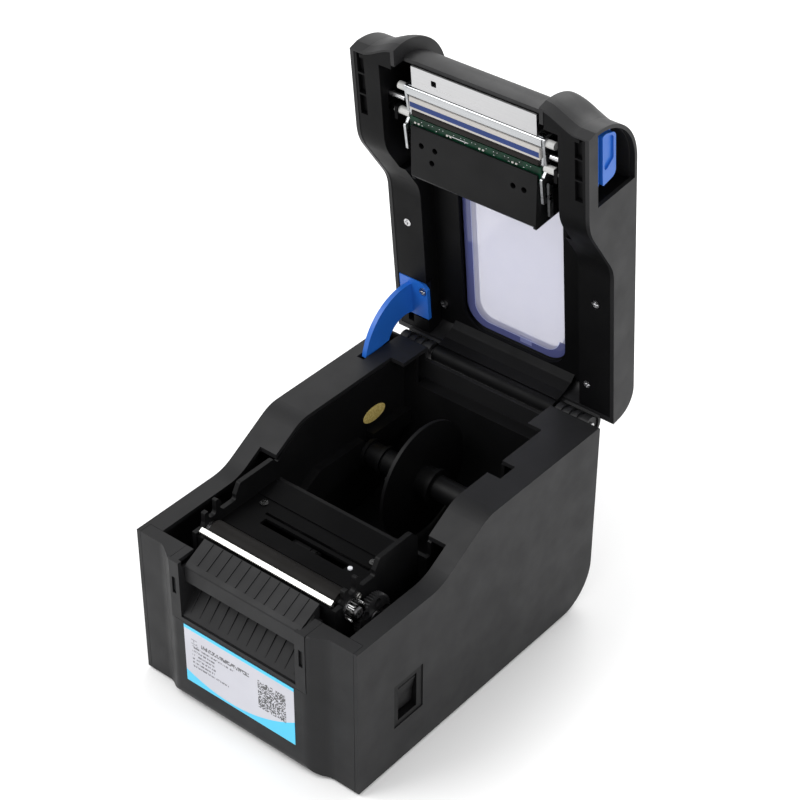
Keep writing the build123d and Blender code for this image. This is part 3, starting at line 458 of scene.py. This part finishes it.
def add_lathe(mesh, place, centre, profile):
    """Turned shape about X.  Profile is (x, radius) pairs and centre is (y, z)."""
    rings = []
    for x, radius in profile:
        ring = []
        for step in range(LATHE_SIDES):
            turn = 2 * math.pi * step / LATHE_SIDES
            y = centre[0] + radius * math.cos(turn)
            z = centre[1] + radius * math.sin(turn)
            ring.append(mesh.verts.new(place(x, y, z)))
        rings.append(ring)
    for first, second in zip(rings, rings[1:]):
        for step in range(LATHE_SIDES):
            after = (step + 1) % LATHE_SIDES
            mesh.faces.new([first[step], first[after], second[after], second[step]])
    mesh.faces.new(rings[0][::-1])
    mesh.faces.new(rings[-1])


def board_parts():
    """Solder pads, drivers and small parts along the head's board, facing the open side."""
    chips, pads = bmesh.new(), bmesh.new()
    for step in range(BOARD_STEPS):
        x = BOARD_START + step * BOARD_PITCH
        if step % 9 in (0, 1):
            add_block(chips, lid_point, x, x + 1.3, 44.9, 45.9, BOARD_FACE, 103.5, 0.9)
        elif step % 3:
            add_block(pads, lid_point, x, x + 0.5, 43.5, 43.9, BOARD_FACE, 103.84, 0.8)
        if step % 4 == 2:
            add_block(pads, lid_point, x, x + 0.9, 45.6, 46.0, BOARD_FACE, 103.84, 0.8)
    add_block(pads, lid_point, -18, -4, 44.9, 45.3, BOARD_FACE, 103.88, 0.95)
    for mesh in (chips, pads):
        bmesh.ops.recalc_face_normals(mesh, faces=mesh.faces)
    finished("board_chips", chips, "print_head", CERAMIC, 0.0001)
    finished("board_pads", pads, "print_head", STEEL)


def cheek_studs():
    """Bright turned studs on the outside of the right cheek, beside the platen's bearing."""
    mesh = bmesh.new()
    for centre, radius in (((31.6, 100.2), 1.9), ((26.4, 88.4), 1.7), ((22.4, 92.2), 1.3)):
        profile = [
            (49.3, radius), (50.4, radius), (50.8, radius * 0.9), (50.9, radius * 0.5),
            (50.5, radius * 0.42), (50.45, radius * 0.1),
        ]
        add_lathe(mesh, row, centre, profile)
    bmesh.ops.recalc_face_normals(mesh, faces=mesh.faces)
    finished("cheek_studs", mesh, "base", CHROME)


board_parts()
cheek_studs()

for name, width in (
    ("lid_cover", 0.0005), ("base_shell", 0.0004), ("front_cover", 0.0004),
    ("front_bezel", 0.0003), ("strut_arm", 0.0004), ("latch_lever_right", 0.0006),
    ("latch_lever_left", 0.0006), ("head_front_plate", 0.0002), ("lid_inner_frame", 0.0003),
):
    edge = nodes[name].modifiers.new("edges", "BEVEL")
    edge.width, edge.segments, edge.limit_method = width, BEVEL_SEGMENTS, "ANGLE"
    edge.angle_limit = BEVEL_ANGLE
    edge.use_clamp_overlap = True


# ---------------------------------------------------------------- stage


def area_light(name, place, target, size, power):
    data = bpy.data.lights.new(name, "AREA")
    data.energy = power
    data.size = size
    lamp = bpy.data.objects.new(name, data)
    lamp.location = place
    lamp.rotation_euler = (Vector(target) - Vector(place)).to_track_quat("-Z", "Y").to_euler()
    scene.collection.objects.link(lamp)


def floor():
    mesh = bpy.data.meshes.new("floor")
    mesh.from_pydata([(-6, -6, 0), (6, -6, 0), (6, 6, 0), (-6, 6, 0)], [], [(0, 1, 2, 3)])
    made = bpy.data.objects.new("floor", mesh)
    made.location.z = -0.0002
    scene.collection.objects.link(made)
    g = Graph("floor_paint")
    g.set(Base_Color=g.ramp(g.noise(3, 2), [(0.3, (0.9, 0.9, 0.9)), (0.7, (0.92, 0.92, 0.92))]))
    g.set(Roughness=0.8)
    made.data.materials.append(g.material)


def studio():
    world = bpy.data.worlds.new("studio")
    world.use_nodes = True
    world.node_tree.nodes["Background"].inputs["Color"].default_value = (1, 1, 1, 1)
    world.node_tree.nodes["Background"].inputs["Strength"].default_value = 0.85
    scene.world = world
    centre = (0, 0, 0.12)
    area_light("key", (-0.7, -0.9, 1.5), centre, 0.9, 14)
    area_light("back", (-0.3, 1.2, 1.2), centre, 0.9, 10)
    area_light("side", (1.4, -0.3, 0.9), centre, 0.8, 5)
    scene.view_settings.view_transform = "Standard"
    scene.view_settings.exposure = 0.12


def camera():
    data = bpy.data.cameras.new("camera")
    data.lens = CAMERA_LENS
    data.sensor_width = 36
    data.clip_start, data.clip_end = 0.05, 30
    made = bpy.data.objects.new("camera", data)
    azimuth, elevation = math.radians(CAMERA_AZIMUTH), math.radians(CAMERA_ELEVATION)
    right = Vector((math.cos(azimuth), math.sin(azimuth), 0))
    back = Vector(
        (
            math.sin(azimuth) * math.cos(elevation),
            -math.cos(azimuth) * math.cos(elevation),
            math.sin(elevation),
        )
    )
    up = back.cross(right)
    turn = Matrix((right, up, back)).transposed()
    roll = Matrix.Rotation(math.radians(CAMERA_ROLL), 3, "Z")
    x, y, z = CAMERA_PLACE
    made.matrix_world = Matrix.Translation((x, y - MID_Y, z + UP)) @ (turn @ roll).to_4x4()
    scene.collection.objects.link(made)
    scene.camera = made


floor()
studio()
camera()
